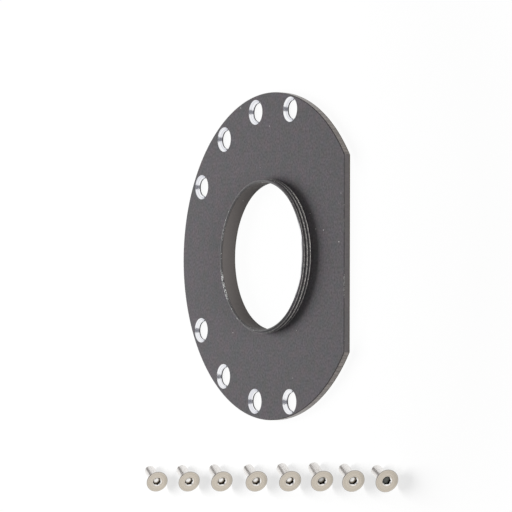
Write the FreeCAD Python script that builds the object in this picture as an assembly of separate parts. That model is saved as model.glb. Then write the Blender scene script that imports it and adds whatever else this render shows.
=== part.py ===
import FreeCAD, Part
import math
import os

# Telescope camera adapter: a round black plate, turned in one piece with its male camera thread, cut
# flat on one side and drilled for eight countersunk socket screws, which lie loose in a row beside it.
# Lengths in millimetres, angles in degrees. The origin is the centre of the clear aperture on the back
# face. +Z is the optical axis, out of the threaded collar, and +X points at the flat.

# fixing screws, metric countersunk with a hexagon socket
screw_diameter = 3.0
screw_length = 8.0
head_diameter = 6.2
head_land = 0.2
head_edge_break = 0.1
countersink_angle = 90.0
hexagon_across_flats = 2.0
socket_depth = 1.1
socket_lead_in = 0.15
socket_floor_angle = 120.0
tip_break = 0.4

# plate
plate_diameter = 89.0
plate_thickness = 2.0
flat_depth = 8.4
edge_break = 0.2

# threaded collar and the clear aperture through it
thread_diameter = 42.0
collar_height = 2.8
collar_wall = 1.0
collar_lead_in = 0.4
aperture_break = 0.3

# screw holes: three on the bolt circle and one beside the flat, nearer the rim, and their mirror images
hole_edge_distance = 4.4
hole_angles = (100.0, 125.0, 150.0)
flat_hole_edge_distance = 3.85
flat_hole_angle = 75.5
hole_clearance = 2.0
countersink_clearance = 0.6

# row of loose screws on the surface that the plate lies on
row_gap = 16.6
row_turn = 2.15
screw_places = (-56.5, -39.1, -21.9, -4.2, 12.4, 27.7, 42.3, 57.5)
screw_headings = (-24.0, -25.0, -26.0, -25.0, -27.0, -28.0, -24.0, -20.0)
hexagon_turns = (24.0, 45.0, 44.0, 21.0, 15.0, 46.0, 30.0, 39.0)

# sizes that follow from the driving ones
plate_radius = plate_diameter / 2
flat_x = plate_radius - flat_depth
thread_radius = thread_diameter / 2
aperture_radius = thread_radius - collar_wall
collar_front = plate_thickness + collar_height
hole_radius = (screw_diameter + hole_clearance) / 2
countersink_radius = (head_diameter + countersink_clearance) / 2
cone_slope = math.tan(math.radians(countersink_angle / 2))

# how far cutting tools and blanks run past the metal
overrun = 1.0

axis_z = FreeCAD.Vector(0, 0, 1)
centre = FreeCAD.Vector(0, 0, 0)


def turned(profile):
    """Solid of revolution about Z from (radius, height) points."""
    points = [FreeCAD.Vector(radius, 0, height) for radius, height in profile]
    face = Part.Face(Part.makePolygon(points + points[:1]))
    return face.revolve(centre, axis_z, 360)


def disc():
    """Plate blank with its outer edges broken, front and back."""
    return turned([
        (0, 0),
        (plate_radius - edge_break, 0),
        (plate_radius, edge_break),
        (plate_radius, plate_thickness - edge_break),
        (plate_radius - edge_break, plate_thickness),
        (0, plate_thickness),
    ])


def flat_stock():
    """Bar along Y that leaves the milled flat, with its long edges broken, where it meets the disc."""
    far = -plate_radius - overrun
    section = [
        (far, 0),
        (flat_x - edge_break, 0),
        (flat_x, edge_break),
        (flat_x, plate_thickness - edge_break),
        (flat_x - edge_break, plate_thickness),
        (far, plate_thickness),
    ]
    points = [FreeCAD.Vector(x, -plate_radius - overrun, z) for x, z in section]
    face = Part.Face(Part.makePolygon(points + points[:1]))
    return face.extrude(FreeCAD.Vector(0, 2 * (plate_radius + overrun), 0))


def collar():
    """Collar at the thread's major diameter, solid inside, with its lead-in chamfer."""
    return turned([
        (0, 0),
        (thread_radius, 0),
        (thread_radius, collar_front - collar_lead_in),
        (thread_radius - collar_lead_in, collar_front),
        (0, collar_front),
    ])


def aperture():
    """Cutter for the clear aperture, flared at both mouths to break their edges."""
    flare = aperture_radius + aperture_break + overrun
    return turned([
        (0, -overrun),
        (flare, -overrun),
        (aperture_radius, aperture_break),
        (aperture_radius, collar_front - aperture_break),
        (flare, collar_front + overrun),
        (0, collar_front + overrun),
    ])


def hole_centres():
    """Screw hole centres, on the bolt circle and beside the flat, each with its mirror image."""
    polar = [(plate_radius - hole_edge_distance, angle) for angle in hole_angles]
    polar.append((plate_radius - flat_hole_edge_distance, flat_hole_angle))
    centres = []
    for reach, angle in polar:
        for turn in (math.radians(angle), -math.radians(angle)):
            centres.append((reach * math.cos(turn), reach * math.sin(turn)))
    return centres


def countersunk_hole():
    """Cutter for one through hole with its countersink in the front face."""
    cone_depth = (countersink_radius - hole_radius) / cone_slope
    return turned([
        (0, -overrun),
        (hole_radius, -overrun),
        (hole_radius, plate_thickness - cone_depth),
        (countersink_radius + overrun * cone_slope, plate_thickness + overrun),
        (0, plate_thickness + overrun),
    ])


def adapter_plate():
    """Plate and collar, one piece of metal."""
    body = disc().common(flat_stock()).fuse(collar()).removeSplitter()
    holes = []
    for x, y in hole_centres():
        hole = countersunk_hole()
        hole.translate(FreeCAD.Vector(x, y, 0))
        holes.append(hole)
    return body.cut([aperture()] + holes)


def hexagon_socket():
    """Cutter for the socket: hexagonal walls, a drilled conical floor and a chamfered mouth."""
    corner_radius = hexagon_across_flats / 2 / math.cos(math.radians(30))
    floor = screw_length - socket_depth
    corners = []
    for step in range(7):
        turn = math.radians(60 * step)
        corners.append(FreeCAD.Vector(corner_radius * math.cos(turn), corner_radius * math.sin(turn), floor))
    walls = Part.Face(Part.makePolygon(corners)).extrude(FreeCAD.Vector(0, 0, socket_depth + overrun))
    drill_radius = hexagon_across_flats / 2
    drill_point = drill_radius / math.tan(math.radians(socket_floor_angle / 2))
    drilled = Part.makeCone(0, drill_radius, drill_point, FreeCAD.Vector(0, 0, floor - drill_point))
    mouth_height = socket_lead_in + overrun
    mouth = Part.makeCone(
        corner_radius, corner_radius + mouth_height, mouth_height,
        FreeCAD.Vector(0, 0, screw_length - socket_lead_in))
    return walls.fuse([drilled, mouth])


def fixing_screw():
    """Screw along Z with its tip at the origin; the shank is at the thread's major diameter."""
    shank_radius = screw_diameter / 2
    head_radius = head_diameter / 2
    land_start = screw_length - head_land
    cone_start = land_start - (head_radius - shank_radius) / cone_slope
    blank = turned([
        (0, 0),
        (shank_radius - tip_break, 0),
        (shank_radius, tip_break),
        (shank_radius, cone_start),
        (head_radius, land_start),
        (head_radius, screw_length - head_edge_break),
        (head_radius - head_edge_break, screw_length),
        (0, screw_length),
    ])
    return blank.cut(hexagon_socket())


def laid_down(screw, place, heading, hexagon_turn):
    """Screw at rest in the row, on the rim of its head and the edge of its tip, head end raised."""
    contact_run = screw_length - head_land - tip_break
    radius_drop = (head_diameter - screw_diameter) / 2
    tilt = math.atan(radius_drop / contact_run)
    tip_height = screw_diameter / 2 * math.cos(tilt) - tip_break * math.sin(tilt)
    head_reach = screw_length * math.cos(tilt)
    head_turn = math.radians(heading)
    along = math.radians(row_turn)
    row_y = -plate_radius - row_gap
    tip = FreeCAD.Vector(
        place * math.cos(along) - head_reach * math.cos(head_turn),
        row_y + place * math.sin(along) - head_reach * math.sin(head_turn),
        tip_height)
    spin = FreeCAD.Rotation(axis_z, hexagon_turn)
    lean = FreeCAD.Rotation(FreeCAD.Vector(0, 1, 0), 90 - math.degrees(tilt))
    swing = FreeCAD.Rotation(axis_z, heading)
    laid = screw.copy()
    laid.Placement = FreeCAD.Placement(tip, swing.multiply(lean).multiply(spin))
    return laid


def sub_parts():
    """Every piece by its node's name."""
    pieces = {"adapter_plate": adapter_plate()}
    screw = fixing_screw()
    spots = zip(screw_places, screw_headings, hexagon_turns)
    for number, (place, heading, hexagon_turn) in enumerate(spots, start=1):
        pieces[f"fixing_screw_{number}"] = laid_down(screw, place, heading, hexagon_turn)
    return pieces


os.makedirs("parts", exist_ok=True)
for node, shape in sub_parts().items():
    shape.exportStep(f"parts/{node}.step")
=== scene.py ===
import bmesh
import bpy
import math
from mathutils import Matrix, Vector


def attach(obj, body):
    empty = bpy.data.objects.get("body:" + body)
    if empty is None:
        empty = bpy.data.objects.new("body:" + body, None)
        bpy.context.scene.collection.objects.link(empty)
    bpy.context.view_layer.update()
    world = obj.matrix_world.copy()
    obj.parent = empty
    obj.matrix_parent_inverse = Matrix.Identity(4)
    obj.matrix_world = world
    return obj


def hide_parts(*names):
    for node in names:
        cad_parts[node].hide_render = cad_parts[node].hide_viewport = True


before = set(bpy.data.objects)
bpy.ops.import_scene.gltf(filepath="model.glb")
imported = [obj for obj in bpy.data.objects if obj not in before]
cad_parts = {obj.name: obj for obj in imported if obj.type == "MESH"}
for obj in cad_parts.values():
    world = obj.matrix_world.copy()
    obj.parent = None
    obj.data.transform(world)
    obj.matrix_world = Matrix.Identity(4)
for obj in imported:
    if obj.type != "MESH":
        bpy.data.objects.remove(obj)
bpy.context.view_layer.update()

# Telescope camera adapter: a black anodised plate with a threaded collar, lying on its back, and its
# eight countersunk screws lying loose beside it. Lengths are in millimetres and angles in degrees, apart
# from the studio's lengths, and each finished piece is brought to metres.
MM = 0.001

# plate
PLATE_RADIUS = 44.5
PLATE_THICKNESS = 2.0
FLAT_X = 36.1
EDGE_BREAK = 0.2
RIM_STEPS = 360

# threaded collar: 42 mm over the crests, one thread each millimetre, over a relief groove at its foot,
# with a crest at CREST_HEIGHT on the flat's side and a front land that falls a little outwards
THREAD_RADIUS = 21.0
THREAD_PITCH = 1.0
THREAD_DEPTH = 0.55
THREAD_CREST = 0.13
THREAD_ROOT = 0.18
CREST_HEIGHT = 2.42
RELIEF_WIDTH = 0.15
COLLAR_FRONT = 4.8
COLLAR_LEAD_IN = 0.4
COLLAR_LAND_FALL = 0.05
APERTURE_RADIUS = 20.0
APERTURE_BREAK = 0.3

# screw holes: three on a circle and one beside the flat, and their mirror images; the drilled wall has a
# dark ring at its top, under the countersink: painted dark reflection, left in the black anodising
HOLE_RADIUS = 2.5
COUNTERSINK_RADIUS = 3.4
CIRCLE_RADIUS = 40.1
CIRCLE_ANGLES = (100.0, 125.0, 150.0)
FLAT_HOLE_RADIUS = 40.65
FLAT_HOLE_ANGLE = 75.5
DARK_RING_DEPTH = 0.35
HOLE_STEPS = 96

# screws
SCREW_RADIUS = 1.5
SCREW_LENGTH = 8.0
SCREW_PITCH = 0.5
SCREW_THREAD_DEPTH = 0.28
HEAD_RADIUS = 3.1
HEAD_LAND = 0.2
HEAD_EDGE_BREAK = 0.1
TIP_BREAK = 0.4
HEXAGON_ACROSS_FLATS = 2.0
SOCKET_DEPTH = 1.1
SOCKET_LEAD_IN = 0.15
SOCKET_FLOOR_ANGLE = 120.0
SCREW_STEPS = 64

# where the screws lie: each one's place along the row, its heading and the turn of its hexagon
ROW_Y = -61.1
ROW_TURN = 2.15
SCREW_PLACES = (-56.5, -39.1, -21.9, -4.2, 12.4, 27.7, 42.3, 57.5)
SCREW_HEADINGS = (-24.0, -25.0, -26.0, -25.0, -27.0, -28.0, -24.0, -20.0)
HEXAGON_TURNS = (24.0, 45.0, 44.0, 21.0, 15.0, 46.0, 30.0, 39.0)

# how much painted shade darkens the floor of each screw's socket
SOCKET_FLOOR_SHADE = (0.0, 0.0, 0.0, 0.1, 0.0, 0.5, 0.1, 0.95)

# sizes that follow
ROOT_RADIUS = THREAD_RADIUS - THREAD_DEPTH
CONE_FOOT = PLATE_THICKNESS - (COUNTERSINK_RADIUS - HOLE_RADIUS)
DARK_RING_FOOT = CONE_FOOT - DARK_RING_DEPTH

# how a face leans, by the size of its normal's Z, and the angle from which an edge is sharp
LEVEL = 0.999
SLOPED = 0.6
UPRIGHT = 0.1
SHARP_EDGE = 28.0

# how much the plate's sides show the tool, the bore's and the flat's shares also painting them lighter as
# painted light, how smoothly its edge breaks are cut, and how much of the rubbed edges' painted light and
# glints the flat's break takes
RIM_TOOLED = 1.0
BORE_TOOLED_AND_LIT = 0.85
FLAT_TOOLED_AND_LIT = 0.4
RIM_BREAK_CUT = 0.9
FLAT_BREAK_CUT = 0.45
FLAT_BREAK_HIGHLIGHT = 0.35

# patches along Y where the collar's mouth takes painted glints on its chips and its land takes painted
# highlights: middle, half width, soft end
LOWER_GLINT_CHIPS = (-7.8, 2.6, 2.2)
UPPER_GLINT_CHIPS = (7.5, 1.0, 1.5)
LOWER_LAND_HIGHLIGHT = (-7.3, 1.4, 2.0)
UPPER_LAND_HIGHLIGHT = (5.8, 1.2, 2.0)

# a dark line on the bore's wall, by its height, and a pale ring of painted glint spots round the collar's
# foot, by its radius: middle, half width, soft end
BORE_LINE = (COLLAR_FRONT - APERTURE_BREAK - 0.12, 0.06, 0.06)
FOOT_RING = (THREAD_RADIUS + 0.6, 0.04, 0.05)

# spans over which the plate's marks come or go: the land's polish and painted highlights along X and the
# crests' painted highlights along Y
GLEAM_COMES = (16.5, 19.5)
CREST_HIGHLIGHT_GOES = (15.0, 20.0)

# the same in height, from the plate's back to the collar's front
BACK_EDGE_GOES = (0.35, 0.50)
CONE_COMES = (DARK_RING_FOOT - 0.05, DARK_RING_FOOT + 0.05)
THREAD_COMES = (PLATE_THICKNESS + 0.1, PLATE_THICKNESS + 0.2)
FIRST_TURN_COMES = (3.9, 4.3)
ROOTS_END = (COLLAR_FRONT - 0.3, COLLAR_FRONT - 0.2)
LAND_COMES = (COLLAR_FRONT - 2 * COLLAR_LAND_FALL, COLLAR_FRONT - COLLAR_LAND_FALL)

# the same in distance from the axis
BORE_GOES = (APERTURE_RADIUS + 0.02, APERTURE_RADIUS + 0.06)
ROOTS_COME = (ROOT_RADIUS - 0.10, ROOT_RADIUS - 0.05)
ROOTS_GO = (THREAD_RADIUS - 0.40, THREAD_RADIUS - 0.15)
CRESTS_COME = (THREAD_RADIUS - 0.20, THREAD_RADIUS - 0.06)
CRESTS_GO = (THREAD_RADIUS + 0.05, THREAD_RADIUS + 0.10)

# spans over which a screw's marks come or go: along it from its tip, and then in distance from its axis
TIP_GOES = (0.02, 0.10)
SHANK_GOES = (SCREW_LENGTH - 1.0, SCREW_LENGTH - 0.3)
SOCKET_FLOOR_GOES = (SCREW_LENGTH - 0.6, SCREW_LENGTH - 0.4)
FLOOR_EDGE_COMES = (0.60, 0.85)
CLEFT_GOES = (SCREW_RADIUS - SCREW_THREAD_DEPTH, SCREW_RADIUS - 0.05)
HEAD_EDGE_COMES = (HEAD_RADIUS - 0.2, HEAD_RADIUS - 0.1)

# camera, found from the plate's outline, holes and aperture in the photograph
CAMERA_TURN = 57.184
CAMERA_PITCH = -1.544
CAMERA_ROLL = -0.1725
CAMERA_OFFSET = (-5.224, 0.0645)
CAMERA_DISTANCE = 905.7
CAMERA_LENS = 234.27
SENSOR_WIDTH = 36.0

# lamps, in metres and watts: name, bearing from +X, height in degrees, width and power
LAMP_DISTANCE = 0.9
LAMPS = (
    ("window", 180.0, 28.0, 0.5, 16.6),
    ("reflector", 0.0, 7.0, 0.4, 7.25),
)
WORLD_LEVEL = 0.09

# grey cards, as far off as the lamps: name, bearing, height in degrees, two widths in metres and colour
CARDS = (
    ("card_ahead", 0.0, 57.0, 0.5, 0.5, (0.22, 0.22, 0.242)),
    ("card_beside", -13.0, 39.0, 0.6, 0.3, (0.22, 0.20, 0.185)),
    ("card_behind", 156.0, 20.0, 0.45, 0.28, (0.17, 0.155, 0.145)),
)

# floor, in metres: half its width, and how far below the plate's back it lies
FLOOR_HALF = 6.0
FLOOR_DROP = 0.00002

# share of the floor's white that a shadow takes away, by the plate and by the screws, and how much of
# that is left far off, past the distances from the axis, in millimetres, over which it fades
SHADE_BY_PLATE = 0.03
SHADE_BY_SCREWS = 0.28
SHADE_LEFT_FAR_OFF = 0.1
FADE_START = 95.0
FADE_END = 130.0

# how far a cutter runs past the metal, and how close two points are one
OVERRUN = 1.0
MERGE = 0.0005


def joined_up(bm):
    """Seams and poles closed, faces outwards."""
    bmesh.ops.remove_doubles(bm, verts=bm.verts, dist=MERGE)
    bmesh.ops.recalc_face_normals(bm, faces=bm.faces)
    return bm


def swept(outline, angle, steps, rise, closed):
    """Surface that a closed outline of (radius, height) points sweeps round Z, rising at each step."""
    bm = bmesh.new()
    ring = [bm.verts.new((radius, 0.0, height)) for radius, height in outline]
    edges = [bm.edges.new(pair) for pair in zip(ring, ring[1:] + ring[:1])]
    bmesh.ops.spin(
        bm, geom=ring + edges, cent=(0, 0, 0), axis=(0, 0, 1), dvec=(0, 0, rise),
        angle=angle, steps=steps, use_merge=closed, use_duplicate=False)
    return bm


def turned(profile, steps):
    """Closed solid turned about Z from a closed outline of (radius, height) points."""
    return joined_up(swept(profile, math.tau, steps, 0.0, True))


def thread_cutter(radius, pitch, depth, crest, root, first_height, start_angle, turns, steps):
    """Right-hand helical groove as a solid: its section is swept up Z from a height and an angle."""
    half_mouth = (pitch - crest) / 2
    outer = radius + depth
    section = [
        (radius - depth, -root / 2),
        (radius, -half_mouth),
        (outer, -half_mouth),
        (outer, half_mouth),
        (radius, half_mouth),
        (radius - depth, root / 2),
    ]
    raised = [(reach, first_height + height) for reach, height in section]
    bm = swept(raised, math.tau * turns, round(turns * steps), pitch / steps, False)
    bmesh.ops.holes_fill(bm, edges=[edge for edge in bm.edges if edge.is_boundary], sides=0)
    bmesh.ops.rotate(bm, cent=(0, 0, 0), matrix=Matrix.Rotation(start_angle, 3, "Z"), verts=bm.verts)
    return joined_up(bm)


def planed(bm, point, outwards):
    """Cuts away what lies outwards of a plane and closes the cut."""
    everything = bm.verts[:] + bm.edges[:] + bm.faces[:]
    cut = bmesh.ops.bisect_plane(
        bm, geom=everything, plane_co=point, plane_no=outwards, clear_outer=True)
    edges = [item for item in cut["geom_cut"] if isinstance(item, bmesh.types.BMEdge)]
    bmesh.ops.edgeloop_fill(bm, edges=edges)
    return joined_up(bm)


def placed(bm, matrix):
    """Moves a whole solid."""
    bmesh.ops.transform(bm, matrix=matrix, verts=bm.verts)
    return bm


def linked(name, data):
    """New object in the scene for a mesh, a lamp or a camera."""
    obj = bpy.data.objects.new(name, data)
    bpy.context.scene.collection.objects.link(obj)
    return obj


def bench_object(name, *solids):
    """One object in millimetres from several solids that don't meet."""
    mesh = bpy.data.meshes.new(name)
    whole = bmesh.new()
    for solid in solids:
        solid.to_mesh(mesh)
        solid.free()
        whole.from_mesh(mesh)
    whole.to_mesh(mesh)
    whole.free()
    return linked(name, mesh)


def cut_with(obj, *cutters):
    """Takes the cutters out of the object and leaves a plain mesh."""
    for cutter in cutters:
        modifier = obj.modifiers.new("cut", "BOOLEAN")
        modifier.operation = "DIFFERENCE"
        modifier.solver = "EXACT"
        modifier.object = cutter
    bpy.context.view_layer.update()
    evaluated = obj.evaluated_get(bpy.context.evaluated_depsgraph_get())
    mesh = bpy.data.meshes.new_from_object(evaluated)
    obj.modifiers.clear()
    obj.data = mesh
    for cutter in cutters:
        bpy.data.objects.remove(cutter)
    return obj


def smooth_between_edges(mesh):
    """Round faces shade smoothly, and true edges stay sharp."""
    mesh.polygons.foreach_set("use_smooth", [True] * len(mesh.polygons))
    mesh.set_sharp_from_angle(angle=math.radians(SHARP_EDGE))


def keep_marks(mesh, marks):
    """Keeps one value for each face under each mark's name."""
    for name, values in marks.items():
        mesh.attributes.new(name, "FLOAT", "FACE").data.foreach_set("value", values)


def hole_centres():
    """Screw hole centres, each with its mirror image."""
    polar = [(CIRCLE_RADIUS, angle) for angle in CIRCLE_ANGLES] + [(FLAT_HOLE_RADIUS, FLAT_HOLE_ANGLE)]
    centres = []
    for reach, angle in polar:
        for turn in (math.radians(angle), -math.radians(angle)):
            centres.append(Vector((reach * math.cos(turn), reach * math.sin(turn), 0.0)))
    return centres


def plate_blank():
    """Plate and collar turned in one, then milled flat on one side with its edges broken."""
    foot = PLATE_THICKNESS + RELIEF_WIDTH
    bm = turned([
        (APERTURE_RADIUS + APERTURE_BREAK, 0.0),
        (PLATE_RADIUS - EDGE_BREAK, 0.0),
        (PLATE_RADIUS, EDGE_BREAK),
        (PLATE_RADIUS, PLATE_THICKNESS - EDGE_BREAK),
        (PLATE_RADIUS - EDGE_BREAK, PLATE_THICKNESS),
        (ROOT_RADIUS, PLATE_THICKNESS),
        (ROOT_RADIUS, foot),
        (THREAD_RADIUS, foot + THREAD_DEPTH / 2),
        (THREAD_RADIUS, COLLAR_FRONT - COLLAR_LEAD_IN),
        (THREAD_RADIUS - COLLAR_LEAD_IN, COLLAR_FRONT - COLLAR_LAND_FALL),
        (APERTURE_RADIUS + APERTURE_BREAK, COLLAR_FRONT),
        (APERTURE_RADIUS, COLLAR_FRONT - APERTURE_BREAK),
        (APERTURE_RADIUS, APERTURE_BREAK),
    ], RIM_STEPS)
    planed(bm, (FLAT_X, 0, 0), (1, 0, 0))
    planed(bm, (FLAT_X - EDGE_BREAK, 0, PLATE_THICKNESS), (1, 0, 1))
    return planed(bm, (FLAT_X - EDGE_BREAK, 0, 0), (1, 0, -1))


def countersunk_hole(centre):
    """Cutter for one screw hole, with a ring of edges on its wall at the foot of the dark ring."""
    bm = turned([
        (0.0, -OVERRUN),
        (HOLE_RADIUS, -OVERRUN),
        (HOLE_RADIUS, DARK_RING_FOOT),
        (HOLE_RADIUS, CONE_FOOT),
        (COUNTERSINK_RADIUS + OVERRUN, PLATE_THICKNESS + OVERRUN),
        (0.0, PLATE_THICKNESS + OVERRUN),
    ], HOLE_STEPS)
    return placed(bm, Matrix.Translation(centre))


def mark_plate_faces(mesh, centres):
    """Bare metal in the screw holes but for their rings of painted dark reflection, and how the plate's
    sides and edges were cut, with painted light on the bore, the flat and the rubbed edges.
    """
    marks = {"tooled_and_lit": [], "smooth_cut": [], "highlighted_rubbed_edge": []}
    for face in mesh.polygons:
        middle = Vector((face.center.x, face.center.y, 0.0))
        height = face.center.z
        lean = abs(face.normal.z)
        upright = lean < UPRIGHT
        sloped = SLOPED < lean <= LEVEL
        at_flat = middle.x > FLAT_X - EDGE_BREAK and abs(face.normal.y) < 0.01
        at_rim = at_flat or middle.length > PLATE_RADIUS - EDGE_BREAK
        by_hole = min((middle - centre).length for centre in centres) < COUNTERSINK_RADIUS
        in_hole = by_hole and lean <= LEVEL
        in_dark_ring = DARK_RING_FOOT < height < CONE_FOOT
        # faces of the dark ring keep the black anodising: painted dark reflection
        face.material_index = 1 if in_hole and not in_dark_ring else 0

        # the bore's and the flat's shares paint them lighter: painted light
        tooled_and_lit = 0.0
        if upright and at_flat:
            tooled_and_lit = FLAT_TOOLED_AND_LIT
        elif upright and at_rim:
            tooled_and_lit = RIM_TOOLED
        elif upright and middle.length < APERTURE_RADIUS + EDGE_BREAK:
            tooled_and_lit = BORE_TOOLED_AND_LIT

        smooth_cut = 0.0
        edge_broken = sloped and at_rim and not in_hole
        if edge_broken:
            smooth_cut = FLAT_BREAK_CUT if at_flat else RIM_BREAK_CUT

        # mouth, land and the flat's break take painted light: a paler line with painted glints
        highlighted_rubbed_edge = 0.0
        in_front = sloped and height > COLLAR_FRONT - APERTURE_BREAK
        on_mouth = in_front and middle.length < APERTURE_RADIUS + APERTURE_BREAK
        on_land = in_front and height > COLLAR_FRONT - COLLAR_LAND_FALL
        if on_mouth or on_land:
            highlighted_rubbed_edge = 1.0
        elif edge_broken and at_flat:
            highlighted_rubbed_edge = FLAT_BREAK_HIGHLIGHT

        marks["tooled_and_lit"].append(tooled_and_lit)
        marks["smooth_cut"].append(smooth_cut)
        marks["highlighted_rubbed_edge"].append(highlighted_rubbed_edge)
    keep_marks(mesh, marks)


def anodised_plate(finishes):
    """The plate with its holes and its real thread."""
    centres = hole_centres()
    groove_start = PLATE_THICKNESS + (THREAD_PITCH - THREAD_CREST) / 2 + MERGE
    first_groove = CREST_HEIGHT + THREAD_PITCH / 2
    start_angle = math.tau * (groove_start - first_groove) / THREAD_PITCH
    turns = (COLLAR_FRONT + THREAD_PITCH - groove_start) / THREAD_PITCH
    plate = bench_object("anodised_plate", plate_blank())
    holes = bench_object("holes", *[countersunk_hole(centre) for centre in centres])
    thread = bench_object("thread", thread_cutter(
        THREAD_RADIUS, THREAD_PITCH, THREAD_DEPTH, THREAD_CREST, THREAD_ROOT,
        groove_start, start_angle, turns, RIM_STEPS))
    cut_with(plate, holes, thread)
    for finish in finishes:
        plate.data.materials.append(finish)
    mark_plate_faces(plate.data, centres)
    smooth_between_edges(plate.data)
    return plate


def socket_cutters():
    """Cutters for a screw's socket: hexagonal walls, a drilled conical floor and a chamfered mouth."""
    corner = HEXAGON_ACROSS_FLATS / 2 / math.cos(math.radians(30))
    floor = SCREW_LENGTH - SOCKET_DEPTH
    walls = bmesh.new()
    wall_height = SOCKET_DEPTH + OVERRUN
    bmesh.ops.create_cone(
        walls, cap_ends=True, cap_tris=False, segments=6, radius1=corner, radius2=corner,
        depth=wall_height, matrix=Matrix.Translation((0, 0, floor + wall_height / 2)))
    drill_radius = HEXAGON_ACROSS_FLATS / 2
    drill_point = drill_radius / math.tan(math.radians(SOCKET_FLOOR_ANGLE / 2))
    drilled = turned([(0.0, floor - drill_point), (drill_radius, floor), (0.0, floor + MERGE)], SCREW_STEPS)
    mouth = turned([
        (0.0, SCREW_LENGTH - SOCKET_LEAD_IN - corner),
        (corner + SOCKET_LEAD_IN + OVERRUN, SCREW_LENGTH + OVERRUN),
        (0.0, SCREW_LENGTH + OVERRUN),
    ], SCREW_STEPS)
    return bench_object("walls", walls), bench_object("drilled", drilled), bench_object("mouth", mouth)


def screw_solid():
    """One screw along Z with its tip at the origin, threaded up to its head and socketed."""
    land_start = SCREW_LENGTH - HEAD_LAND
    cone_start = land_start - (HEAD_RADIUS - SCREW_RADIUS)
    blank = bench_object("screw", turned([
        (0.0, 0.0),
        (SCREW_RADIUS - TIP_BREAK, 0.0),
        (SCREW_RADIUS, TIP_BREAK),
        (SCREW_RADIUS, cone_start),
        (HEAD_RADIUS, land_start),
        (HEAD_RADIUS, SCREW_LENGTH - HEAD_EDGE_BREAK),
        (HEAD_RADIUS - HEAD_EDGE_BREAK, SCREW_LENGTH),
        (0.0, SCREW_LENGTH),
    ], SCREW_STEPS))
    turns = (cone_start + SCREW_PITCH) / SCREW_PITCH
    thread = bench_object("thread", thread_cutter(
        SCREW_RADIUS, SCREW_PITCH, SCREW_THREAD_DEPTH, SCREW_PITCH / 8, SCREW_PITCH / 6,
        -SCREW_PITCH, 0.0, turns, SCREW_STEPS))
    return cut_with(blank, thread, *socket_cutters())


def resting_place(place, heading, hexagon_turn):
    """Where a screw comes to rest: on the rim of its head and the edge of its tip."""
    contact_run = SCREW_LENGTH - HEAD_LAND - TIP_BREAK
    tilt = math.atan((HEAD_RADIUS - SCREW_RADIUS) / contact_run)
    tip_height = SCREW_RADIUS * math.cos(tilt) - TIP_BREAK * math.sin(tilt)
    head_reach = SCREW_LENGTH * math.cos(tilt)
    swing = math.radians(heading)
    along = math.radians(ROW_TURN)
    tip = Vector((
        place * math.cos(along) - head_reach * math.cos(swing),
        ROW_Y + place * math.sin(along) - head_reach * math.sin(swing),
        tip_height))
    return (
        Matrix.Translation(tip)
        @ Matrix.Rotation(swing, 4, "Z")
        @ Matrix.Rotation(math.pi / 2 - tilt, 4, "Y")
        @ Matrix.Rotation(math.radians(hexagon_turn), 4, "Z"))


def mark_socket(mesh, floor_shade):
    """Painted shade on the socket's walls, a painted highlight on its chamfer and floor, and how much
    painted shade darkens the floor.
    """
    marks = {"socket_wall_shade": [], "socket_highlight": [], "socket_floor_shade": []}
    reach = HEXAGON_ACROSS_FLATS / 2 + 2 * SOCKET_LEAD_IN
    for face in mesh.polygons:
        from_axis = math.hypot(face.center.x, face.center.y)
        depth = SCREW_LENGTH - face.center.z
        inside = from_axis < reach and 0.01 < depth < 2 * SOCKET_DEPTH
        upright = abs(face.normal.z) < UPRIGHT
        near_floor = inside and depth > SOCKET_DEPTH / 2
        marks["socket_wall_shade"].append(1.0 if inside and upright else 0.0)
        marks["socket_highlight"].append(1.0 if inside and not upright else 0.0)
        marks["socket_floor_shade"].append(floor_shade if near_floor else 0.0)
    keep_marks(mesh, marks)


def laid_screws(finish):
    """The eight screws, each its own piece, with its place on the lathe kept for its finish."""
    pattern = screw_solid()
    mesh = pattern.data
    mesh.materials.append(finish)
    lathe = mesh.attributes.new("on_lathe", "FLOAT_VECTOR", "POINT")
    for vertex in mesh.vertices:
        lathe.data[vertex.index].vector = vertex.co
    smooth_between_edges(mesh)
    screws = []
    spots = zip(SCREW_PLACES, SCREW_HEADINGS, HEXAGON_TURNS)
    for number, (spot, floor_shade) in enumerate(zip(spots, SOCKET_FLOOR_SHADE), start=1):
        screw = linked(f"socket_screw_{number}", mesh.copy())
        mark_socket(screw.data, floor_shade)
        screw.data.transform(resting_place(*spot))
        screws.append(screw)
    bpy.data.objects.remove(pattern)
    return screws


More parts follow.
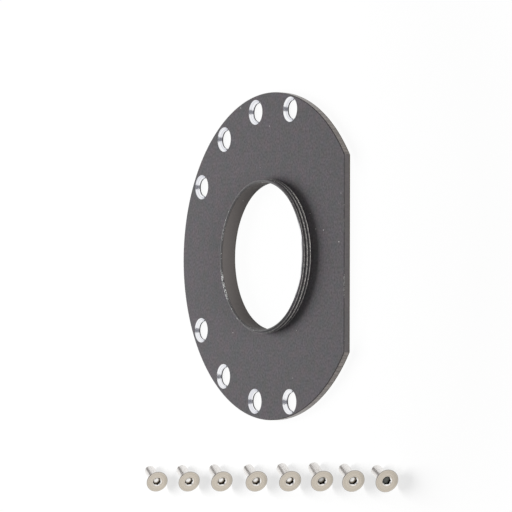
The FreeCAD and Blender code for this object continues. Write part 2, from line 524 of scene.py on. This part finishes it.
class Palette:
    """Short ways to add and join the nodes of one material, group or world."""

    def __init__(self, tree):
        self.nodes = tree.nodes
        self.links = tree.links

    def feed(self, socket, value):
        """Puts a number, a colour or another node's output into a socket."""
        if isinstance(value, bpy.types.NodeSocket):
            self.links.new(value, socket)
        elif socket.type == "RGBA":
            socket.default_value = (*value, 1.0)
        else:
            socket.default_value = value

    def calculated(self, operation, first, second=0.0):
        """Math node of two values."""
        node = self.nodes.new("ShaderNodeMath")
        node.operation = operation
        self.feed(node.inputs[0], first)
        self.feed(node.inputs[1], second)
        return node.outputs[0]

    def product(self, first, *others):
        """Values multiplied together."""
        for value in others:
            first = self.calculated("MULTIPLY", first, value)
        return first

    def stretched(self, coordinates, factors):
        """Coordinates with each axis multiplied by its own factor."""
        node = self.nodes.new("ShaderNodeVectorMath")
        node.operation = "MULTIPLY"
        self.feed(node.inputs[0], coordinates)
        self.feed(node.inputs[1], factors)
        return node.outputs[0]

    def scaled(self, coordinates, factor):
        """Coordinates with all axes multiplied by one factor."""
        node = self.nodes.new("ShaderNodeVectorMath")
        node.operation = "SCALE"
        self.feed(node.inputs[0], coordinates)
        self.feed(node.inputs["Scale"], factor)
        return node.outputs[0]

    def axes(self, coordinates):
        """X, Y and Z of coordinates."""
        node = self.nodes.new("ShaderNodeSeparateXYZ")
        self.feed(node.inputs[0], coordinates)
        return node.outputs

    def from_axis(self, coordinates):
        """Distance from Z."""
        node = self.nodes.new("ShaderNodeVectorMath")
        node.operation = "LENGTH"
        self.feed(node.inputs[0], self.stretched(coordinates, (1.0, 1.0, 0.0)))
        return node.outputs["Value"]

    def pair(self, first, second):
        """Coordinates made of two values."""
        node = self.nodes.new("ShaderNodeCombineXYZ")
        self.feed(node.inputs[0], first)
        self.feed(node.inputs[1], second)
        return node.outputs[0]

    def ranged(self, value, low, high, to_low=0.0, to_high=1.0):
        """Value taken from one span to another, and kept inside it."""
        node = self.nodes.new("ShaderNodeMapRange")
        self.feed(node.inputs["Value"], value)
        node.inputs["From Min"].default_value = low
        node.inputs["From Max"].default_value = high
        node.inputs["To Min"].default_value = to_low
        node.inputs["To Max"].default_value = to_high
        return node.outputs["Result"]

    def cloudy(self, coordinates, detail, low, high, to_low=0.0, to_high=1.0):
        """Noise with one cloud for each unit, taken from the span between low and high to another."""
        node = self.nodes.new("ShaderNodeTexNoise")
        node.inputs["Scale"].default_value = 1.0
        node.inputs["Detail"].default_value = detail
        self.feed(node.inputs["Vector"], coordinates)
        return self.ranged(node.outputs["Fac"], low, high, to_low, to_high)

    def band(self, value, middle, half_width, softness):
        """1 within a distance of the middle value, fading to 0 over the softness."""
        away = self.calculated("ABSOLUTE", self.calculated("SUBTRACT", value, middle))
        return self.ranged(away, half_width, half_width + softness, 1.0, 0.0)

    def mixed(self, share, first, second, blend="MIX"):
        """Colour between two, or the first blended with the second in another way."""
        node = self.nodes.new("ShaderNodeMix")
        node.data_type = "RGBA"
        node.blend_type = blend
        self.feed(node.inputs["Factor"], share)
        self.feed(node.inputs[6], first)
        self.feed(node.inputs[7], second)
        return node.outputs[2]

    def painted(self, name, output="Fac"):
        """Value painted on the mesh."""
        node = self.nodes.new("ShaderNodeAttribute")
        node.attribute_name = name
        return node.outputs[output]

    def raised(self, height, strength, distance):
        """Normal bent by a height, over a distance in millimetres."""
        node = self.nodes.new("ShaderNodeBump")
        node.inputs["Strength"].default_value = strength
        node.inputs["Distance"].default_value = distance * MM
        self.feed(node.inputs["Height"], height)
        return node.outputs["Normal"]

    def grain(self, group, coordinates, grains_per_mm, specks_per_mm, speck_share):
        """Fine grain group in this material, with the material's own values."""
        node = self.nodes.new("ShaderNodeGroup")
        node.node_tree = group
        self.feed(node.inputs["Coordinates"], coordinates)
        node.inputs["Grains per mm"].default_value = grains_per_mm
        node.inputs["Specks per mm"].default_value = specks_per_mm
        node.inputs["Share of specks"].default_value = speck_share
        return node.outputs

    def object_mm(self):
        """Object coordinates in millimetres."""
        return self.scaled(self.nodes.new("ShaderNodeTexCoord").outputs["Object"], 1.0 / MM)


def grain_group():
    """Fine grain shared by the finishes: mottle and slow clouds, from 0 to 1, and sparse round specks."""
    group = bpy.data.node_groups.new("fine_grain", "ShaderNodeTree")
    group.interface.new_socket("Coordinates", in_out="INPUT", socket_type="NodeSocketVector")
    for name in ("Grains per mm", "Specks per mm", "Share of specks"):
        group.interface.new_socket(name, in_out="INPUT", socket_type="NodeSocketFloat")
    for name in ("Mottle", "Clouds", "Specks"):
        group.interface.new_socket(name, in_out="OUTPUT", socket_type="NodeSocketFloat")
    palette = Palette(group)
    entry = group.nodes.new("NodeGroupInput").outputs
    leave = group.nodes.new("NodeGroupOutput").inputs
    fine = palette.scaled(entry["Coordinates"], entry["Grains per mm"])
    clouds_per_grain = 0.22
    speck_fades = (0.10, 0.22)
    palette.feed(leave["Mottle"], palette.cloudy(fine, 3.0, 0.3, 0.7))
    palette.feed(leave["Clouds"], palette.cloudy(palette.scaled(fine, clouds_per_grain), 1.0, 0.3, 0.7))

    cells = group.nodes.new("ShaderNodeTexVoronoi")
    cells.inputs["Scale"].default_value = 1.0
    palette.feed(cells.inputs["Vector"], palette.scaled(entry["Coordinates"], entry["Specks per mm"]))
    chance = group.nodes.new("ShaderNodeSeparateColor")
    palette.feed(chance.inputs[0], cells.outputs["Color"])
    chosen = palette.calculated("LESS_THAN", chance.outputs[0], entry["Share of specks"])
    near = palette.ranged(cells.outputs["Distance"], *speck_fades, 1.0, 0.0)
    palette.feed(leave["Specks"], palette.product(near, chosen))
    return group


def blank_material(name):
    """Material with its Principled shader."""
    material = bpy.data.materials.new(name)
    material.use_nodes = True
    return material, material.node_tree.nodes["Principled BSDF"].inputs


class PlateCoat(Palette):
    """The plate's black anodising in layers, each laid over the colour below it."""

    def __init__(self, tree, grain):
        super().__init__(tree)
        self.place = self.object_mm()
        self.radius = self.from_axis(self.place)
        self.x, self.y, self.height = self.axes(self.place)
        self.fine = self.grain(grain, self.place, grains_per_mm=1.5, specks_per_mm=1.1, speck_share=0.008)
        self.tooled_and_lit = self.painted("tooled_and_lit")
        self.smooth_cut = self.painted("smooth_cut")
        self.turned_rim = self.calculated("GREATER_THAN", self.tooled_and_lit, (BORE_TOOLED_AND_LIT + RIM_TOOLED) / 2)
        self.above_plate = self.ranged(self.height, *THREAD_COMES)
        self.glints = self.glint_spots()
        self.bright_land = self.land_by_flat()

    def skin(self):
        """Grain in a cool and a warm grey, with a slow shift between blue and red."""
        cool = self.mixed(self.fine["Mottle"], (0.076, 0.078, 0.079), (0.121, 0.124, 0.124))
        warm = self.mixed(self.fine["Mottle"], (0.086, 0.078, 0.085), (0.142, 0.131, 0.139))
        grey = self.mixed(self.fine["Clouds"], cool, warm)
        shift = self.cloudy(self.scaled(self.place, 0.4), detail=2.0, low=0.3, high=0.7)
        tint = self.mixed(shift, (0.98, 0.98, 1.03), (1.03, 0.98, 0.98))
        return self.mixed(1.0, grey, tint, "MULTIPLY")

    def cut_surfaces(self, below):
        """Painted light on the bore and the flat, which are lighter, a streaked rim and dark edge breaks."""
        across = self.cloudy(self.stretched(self.place, (3.0, 3.0, 0.4)), detail=2.0, low=0.35, high=0.65)
        streaks = self.mixed(across, (0.15, 0.137, 0.131), (0.26, 0.235, 0.22))
        sides = self.mixed(self.turned_rim, (0.218, 0.199, 0.190), streaks)
        sided = self.mixed(self.tooled_and_lit, below, sides)
        return self.mixed(self.smooth_cut, sided, (0.060, 0.054, 0.055))

    def bore_line(self, below):
        """Dark line round the bore, just below its broken mouth."""
        below_mouth = self.band(self.height, *BORE_LINE)
        on_wall = self.ranged(self.radius, *BORE_GOES, to_low=0.5, to_high=0.0)
        return self.mixed(self.product(below_mouth, on_wall), below, (0.065, 0.061, 0.061))

    def glint_spots(self):
        """Painted glints: sparse spots where the coat is off, and denser chips in two patches along Y."""
        spots = self.cloudy(self.scaled(self.place, 1.6), detail=3.0, low=0.66, high=0.71)
        chips = self.cloudy(self.scaled(self.place, 2.6), detail=3.0, low=0.47, high=0.56)
        fainter = 0.35
        upper = self.product(self.band(self.y, *UPPER_GLINT_CHIPS), fainter)
        patches = self.calculated("MAXIMUM", self.band(self.y, *LOWER_GLINT_CHIPS), upper)
        return self.calculated("MAXIMUM", spots, self.product(patches, chips))

    def highlighted_rubbed_edges(self, below):
        """Painted light on rubbed edges: a paler line, with painted glints where the coat is off."""
        rubbed = self.mixed(self.glints, (0.142, 0.139, 0.141), (0.75, 0.75, 0.74))
        return self.mixed(self.painted("highlighted_rubbed_edge"), below, rubbed)

    def land_by_flat(self):
        """1 on the part of the collar's front land that is polished bright, on the flat's side."""
        return self.product(self.ranged(self.height, *LAND_COMES), self.ranged(self.x, *GLEAM_COMES))

    def polished_land_with_highlights(self, below):
        """Bright grey polished land with two painted highlights."""
        patches = self.calculated(
            "MAXIMUM", self.band(self.y, *UPPER_LAND_HIGHLIGHT), self.band(self.y, *LOWER_LAND_HIGHLIGHT))
        land = self.mixed(patches, (0.34, 0.34, 0.35), (0.90, 0.90, 0.92))
        return self.mixed(self.bright_land, below, land)

    def back_edge(self, below):
        """Olive brown along the back of every cut side, darker on the turned rim."""
        on_side = self.calculated("GREATER_THAN", self.calculated("ADD", self.tooled_and_lit, self.smooth_cut), 0.1)
        at_back = self.ranged(self.height, *BACK_EDGE_GOES, to_low=0.85, to_high=0.0)
        olive = self.mixed(self.turned_rim, (0.109, 0.090, 0.064), (0.075, 0.062, 0.044))
        return self.mixed(self.product(at_back, on_side), below, olive)

    def shaded_thread_roots(self, below):
        """Painted shade in the thread's roots, which stops short of the front land."""
        in_root = self.ranged(self.radius, *ROOTS_GO, to_low=1.0, to_high=0.0)
        below_land = self.ranged(self.height, *ROOTS_END, to_low=0.7, to_high=0.0)
        outside = self.ranged(self.radius, *ROOTS_COME)
        share = self.product(in_root, below_land, outside, self.above_plate)
        return self.mixed(share, below, (0.03, 0.029, 0.03))

    def thread_crest_highlights(self, below):
        """Crests painted pale as highlights, less on the first turn and away from the flat's middle."""
        on_crest = self.ranged(self.radius, *CRESTS_COME)
        patchy = self.cloudy(
            self.stretched(self.place, (2.2, 2.2, 5.0)), detail=2.0, low=0.42, high=0.68, to_low=0.28)
        first_turn = self.ranged(self.height, *FIRST_TURN_COMES, to_low=1.0, to_high=0.65)
        from_middle = self.calculated("ABSOLUTE", self.y)
        by_middle = self.ranged(from_middle, *CREST_HIGHLIGHT_GOES, to_low=1.0, to_high=0.3)
        in_thread = self.ranged(self.radius, *CRESTS_GO, to_low=1.0, to_high=0.0)
        share = self.product(self.above_plate, on_crest, patchy, first_turn, by_middle, in_thread)
        return self.mixed(share, below, (0.77, 0.745, 0.70))

    def pale_foot_ring(self, below):
        """Pale ring of painted glint spots on the plate, just outside the collar's foot."""
        ring = self.product(self.band(self.radius, *FOOT_RING), self.glints)
        return self.mixed(ring, below, (0.247, 0.247, 0.247))

    def dust(self, below):
        """Sparse pale specks."""
        return self.mixed(self.fine["Specks"], below, (0.65, 0.65, 0.65))


def black_anodising(grain):
    """Matte black anodising: fine grain, faint tints, dust, smooth dark edges, painted light on the rubbed
    edges and land, painted highlights on the thread's crests and painted shade in its roots.
    """
    material, shader = blank_material("black_anodising")
    coat = PlateCoat(material.node_tree, grain)
    colour = coat.skin()
    for layer in (
            coat.cut_surfaces, coat.bore_line, coat.highlighted_rubbed_edges, coat.polished_land_with_highlights, coat.back_edge,
            coat.shaded_thread_roots, coat.thread_crest_highlights, coat.pale_foot_ring, coat.dust):
        colour = layer(colour)
    coat.feed(shader["Base Color"], colour)

    matte = coat.ranged(coat.fine["Mottle"], 0.0, 1.0, to_low=0.50, to_high=0.62)
    rim_gloss = coat.product(coat.turned_rim, 0.22)
    cut_gloss = coat.product(coat.calculated("MAXIMUM", coat.smooth_cut, coat.bright_land), 0.3)
    gloss = coat.calculated("ADD", rim_gloss, cut_gloss)
    coat.feed(shader["Roughness"], coat.calculated("SUBTRACT", matte, gloss))
    metal = coat.calculated("MAXIMUM", coat.smooth_cut, coat.turned_rim)
    coat.feed(shader["Metallic"], coat.calculated("MAXIMUM", metal, coat.bright_land))
    shader["Specular IOR Level"].default_value = 0.12
    coat.feed(shader["Normal"], coat.raised(coat.fine["Mottle"], strength=0.18, distance=0.02))
    return material


def bare_aluminium(grain):
    """Freshly countersunk aluminium with turning marks, brightest on the drilled walls."""
    material, shader = blank_material("bare_aluminium")
    palette = Palette(material.node_tree)
    place = palette.object_mm()
    height = palette.axes(place)["Z"]
    fine = palette.grain(grain, place, grains_per_mm=4.0, specks_per_mm=1.0, speck_share=0.0)
    turning_marks = palette.cloudy(
        palette.stretched(place, (0.05, 0.05, 5.0)), detail=1.0, low=0.42, high=0.58)
    bright_cone = palette.mixed(fine["Mottle"], (0.86, 0.87, 0.90), (0.96, 0.96, 0.97))
    cone = palette.mixed(turning_marks, (0.74, 0.745, 0.79), bright_cone)
    above_wall = palette.ranged(height, *CONE_COMES)
    palette.feed(shader["Base Color"], palette.mixed(above_wall, (0.98, 0.98, 0.98), cone))
    gloss = palette.ranged(fine["Mottle"], 0.0, 1.0, to_low=0.10, to_high=0.18)
    palette.feed(shader["Roughness"], gloss)
    shader["Metallic"].default_value = 1.0
    palette.feed(shader["Normal"], palette.raised(fine["Mottle"], strength=0.3, distance=0.03))
    return material


def satin_steel(grain):
    """Satin stainless steel of the screws: beige heads with faint rings, shanks painted whiter than the
    heads as painted reflection, painted shade at the heads' edges and in the thread, and sockets with
    painted shade and highlights.
    """
    material, shader = blank_material("satin_steel")
    palette = Palette(material.node_tree)
    lathe = palette.painted("on_lathe", "Vector")
    from_axis = palette.from_axis(lathe)
    along = palette.axes(lathe)["Z"]
    fine = palette.grain(grain, lathe, grains_per_mm=6.0, specks_per_mm=1.0, speck_share=0.0)

    section = palette.scaled(palette.pair(from_axis, along), 2.6)
    rings = palette.cloudy(section, detail=2.0, low=0.35, high=0.65)
    satin = palette.mixed(fine["Mottle"], (0.51, 0.46, 0.39), (0.56, 0.51, 0.435))
    ringed = palette.mixed(rings, satin, (0.65, 0.59, 0.515))
    # painted shade round the head's edge
    head_edge = palette.ranged(from_axis, *HEAD_EDGE_COMES, to_high=0.6)
    head = palette.mixed(head_edge, ringed, (0.26, 0.25, 0.25))

    # painted shade in the thread's cleft, and a shank painted whiter than the head, of the same steel:
    # painted reflection
    cleft = palette.ranged(from_axis, *CLEFT_GOES, to_low=1.0, to_high=0.0)
    shank = palette.mixed(cleft, (0.93, 0.91, 0.89), (0.32, 0.295, 0.27))
    behind_head = palette.ranged(along, *SHANK_GOES, to_low=1.0, to_high=0.0)
    off_tip = palette.ranged(along, *TIP_GOES)
    steel = palette.mixed(palette.product(behind_head, off_tip), head, shank)

    # painted shade on the socket's walls
    walled = palette.mixed(palette.painted("socket_wall_shade"), steel, (0.07, 0.058, 0.045))
    # painted highlight on the socket's chamfer and floor, with painted shade round the floor's edge and,
    # screw by screw, over the floor
    deep = palette.ranged(along, *SOCKET_FLOOR_GOES, to_low=1.0, to_high=0.0)
    floor_edge = palette.product(deep, palette.ranged(from_axis, *FLOOR_EDGE_COMES))
    bright = palette.mixed(floor_edge, (0.94, 0.92, 0.89), (0.20, 0.165, 0.125))
    lit = palette.mixed(palette.painted("socket_floor_shade"), bright, (0.07, 0.075, 0.07))
    palette.feed(shader["Base Color"], palette.mixed(palette.painted("socket_highlight"), walled, lit))
    satin_gloss = palette.ranged(fine["Mottle"], 0.0, 1.0, to_low=0.22, to_high=0.32)
    palette.feed(shader["Roughness"], satin_gloss)
    shader["Metallic"].default_value = 1.0
    return material


def seen_directly(palette):
    """1 for what is seen directly, in a reflection or through glass, and 0 for light's own bounces."""
    path = palette.nodes.new("ShaderNodeLightPath").outputs
    seen = palette.calculated("MAXIMUM", path["Is Camera Ray"], path["Is Glossy Ray"])
    return palette.calculated("MAXIMUM", seen, path["Is Transmission Ray"])


def flat_square(name, half_width, matrix, material):
    """Sheet of the studio: a square that the matrix stretches and puts in its place."""
    bm = bmesh.new()
    bmesh.ops.create_grid(bm, x_segments=1, y_segments=1, size=half_width)
    placed(bm, matrix)
    mesh = bpy.data.meshes.new(name)
    bm.to_mesh(mesh)
    bm.free()
    mesh.materials.append(material)
    square = linked(name, mesh)
    return square


def white_paper():
    """White that takes soft shadows, fainter round the plate than round the screws."""
    material = bpy.data.materials.new("floor")
    material.use_nodes = True
    material.node_tree.nodes.clear()
    palette = Palette(material.node_tree)
    output = palette.nodes.new("ShaderNodeOutputMaterial")
    paper = palette.nodes.new("ShaderNodeBsdfDiffuse")
    glow = palette.nodes.new("ShaderNodeEmission")
    both = palette.nodes.new("ShaderNodeAddShader")
    from_axis = palette.from_axis(palette.object_mm())
    nearby = palette.ranged(
        from_axis, PLATE_RADIUS, -ROW_Y - SCREW_LENGTH, to_low=SHADE_BY_PLATE, to_high=SHADE_BY_SCREWS)
    faded = palette.ranged(from_axis, FADE_START, FADE_END, to_low=1.0, to_high=SHADE_LEFT_FAR_OFF)
    shade = palette.product(nearby, faded)
    left_over = palette.calculated("SUBTRACT", 1.0, shade)
    palette.feed(paper.inputs["Color"], shade)
    palette.feed(glow.inputs["Strength"], palette.product(seen_directly(palette), left_over))
    palette.feed(both.inputs[0], paper.outputs[0])
    palette.feed(both.inputs[1], glow.outputs[0])
    palette.feed(output.inputs["Surface"], both.outputs[0])
    return material


def off_centre(bearing, height):
    """Unit vector towards a bearing from +X and a height above the floor, in degrees."""
    turn = Matrix.Rotation(math.radians(bearing), 3, "Z") @ Matrix.Rotation(-math.radians(height), 3, "Y")
    return turn @ Vector((1.0, 0.0, 0.0))


def grey_card(name, bearing, height, across, upwards, grey):
    """Grey card that shows only as the dim patch it leaves in bright metal."""
    material, shader = blank_material(name)
    shader["Base Color"].default_value = (0.0, 0.0, 0.0, 1.0)
    shader["Emission Color"].default_value = (*grey, 1.0)
    shader["Emission Strength"].default_value = 1.0
    towards = off_centre(bearing, height)
    turn = (-towards).to_track_quat("Z", "Y").to_matrix().to_4x4()
    size = Matrix.Diagonal((across, upwards, 1.0, 1.0))
    card = flat_square(name, 0.5, Matrix.Translation(towards * LAMP_DISTANCE) @ turn @ size, material)
    card.visible_camera = False
    card.visible_diffuse = False
    card.visible_shadow = False


def studio():
    """White surroundings and soft lamps at a plain level."""
    world = bpy.data.worlds.new("studio")
    bpy.context.scene.world = world
    world.use_nodes = True
    palette = Palette(world.node_tree)
    background = palette.nodes["Background"].inputs
    background["Color"].default_value = (1.0, 1.0, 1.0, 1.0)
    level = palette.ranged(seen_directly(palette), 0.0, 1.0, to_low=WORLD_LEVEL)
    palette.feed(background["Strength"], level)
    for name, bearing, height, width, power in LAMPS:
        lamp = bpy.data.lights.new(name, "AREA")
        lamp.shape = "SQUARE"
        lamp.size = width
        lamp.energy = power
        light = linked(name, lamp)
        light.visible_glossy = False
        towards = off_centre(bearing, height)
        light.location = towards * LAMP_DISTANCE
        light.rotation_euler = (-towards).to_track_quat("-Z", "Y").to_euler()


def camera():
    """The photograph's view: from over the flat's side, turned so that +Y is up."""
    data = bpy.data.cameras.new("camera")
    data.sensor_width = SENSOR_WIDTH
    data.lens = CAMERA_LENS
    data.clip_start = 0.01
    data.clip_end = 50.0
    obj = linked("camera", data)
    turn = (
        Matrix.Rotation(math.radians(CAMERA_TURN), 3, "Y")
        @ Matrix.Rotation(-math.radians(CAMERA_PITCH), 3, "X")
        @ Matrix.Rotation(-math.radians(CAMERA_ROLL), 3, "Z"))
    place = turn @ Vector((*CAMERA_OFFSET, CAMERA_DISTANCE)) * MM
    obj.matrix_world = Matrix.Translation(place) @ turn.to_4x4()
    bpy.context.scene.camera = obj


def put_on_body(piece, node):
    """Brings a finished piece to metres, in place of its node."""
    piece.data.transform(Matrix.Scale(MM, 4))
    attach(piece, "root")
    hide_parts(node)


grain = grain_group()
plate_finishes = (black_anodising(grain), bare_aluminium(grain))
put_on_body(anodised_plate(plate_finishes), "adapter_plate")
for number, screw in enumerate(laid_screws(satin_steel(grain)), start=1):
    put_on_body(screw, f"fixing_screw_{number}")
flat_square("floor", FLOOR_HALF, Matrix.Translation((0, 0, -FLOOR_DROP)), white_paper())
for card in CARDS:
    grey_card(*card)
studio()
camera()

view = bpy.context.scene.view_settings
view.view_transform = "Standard"
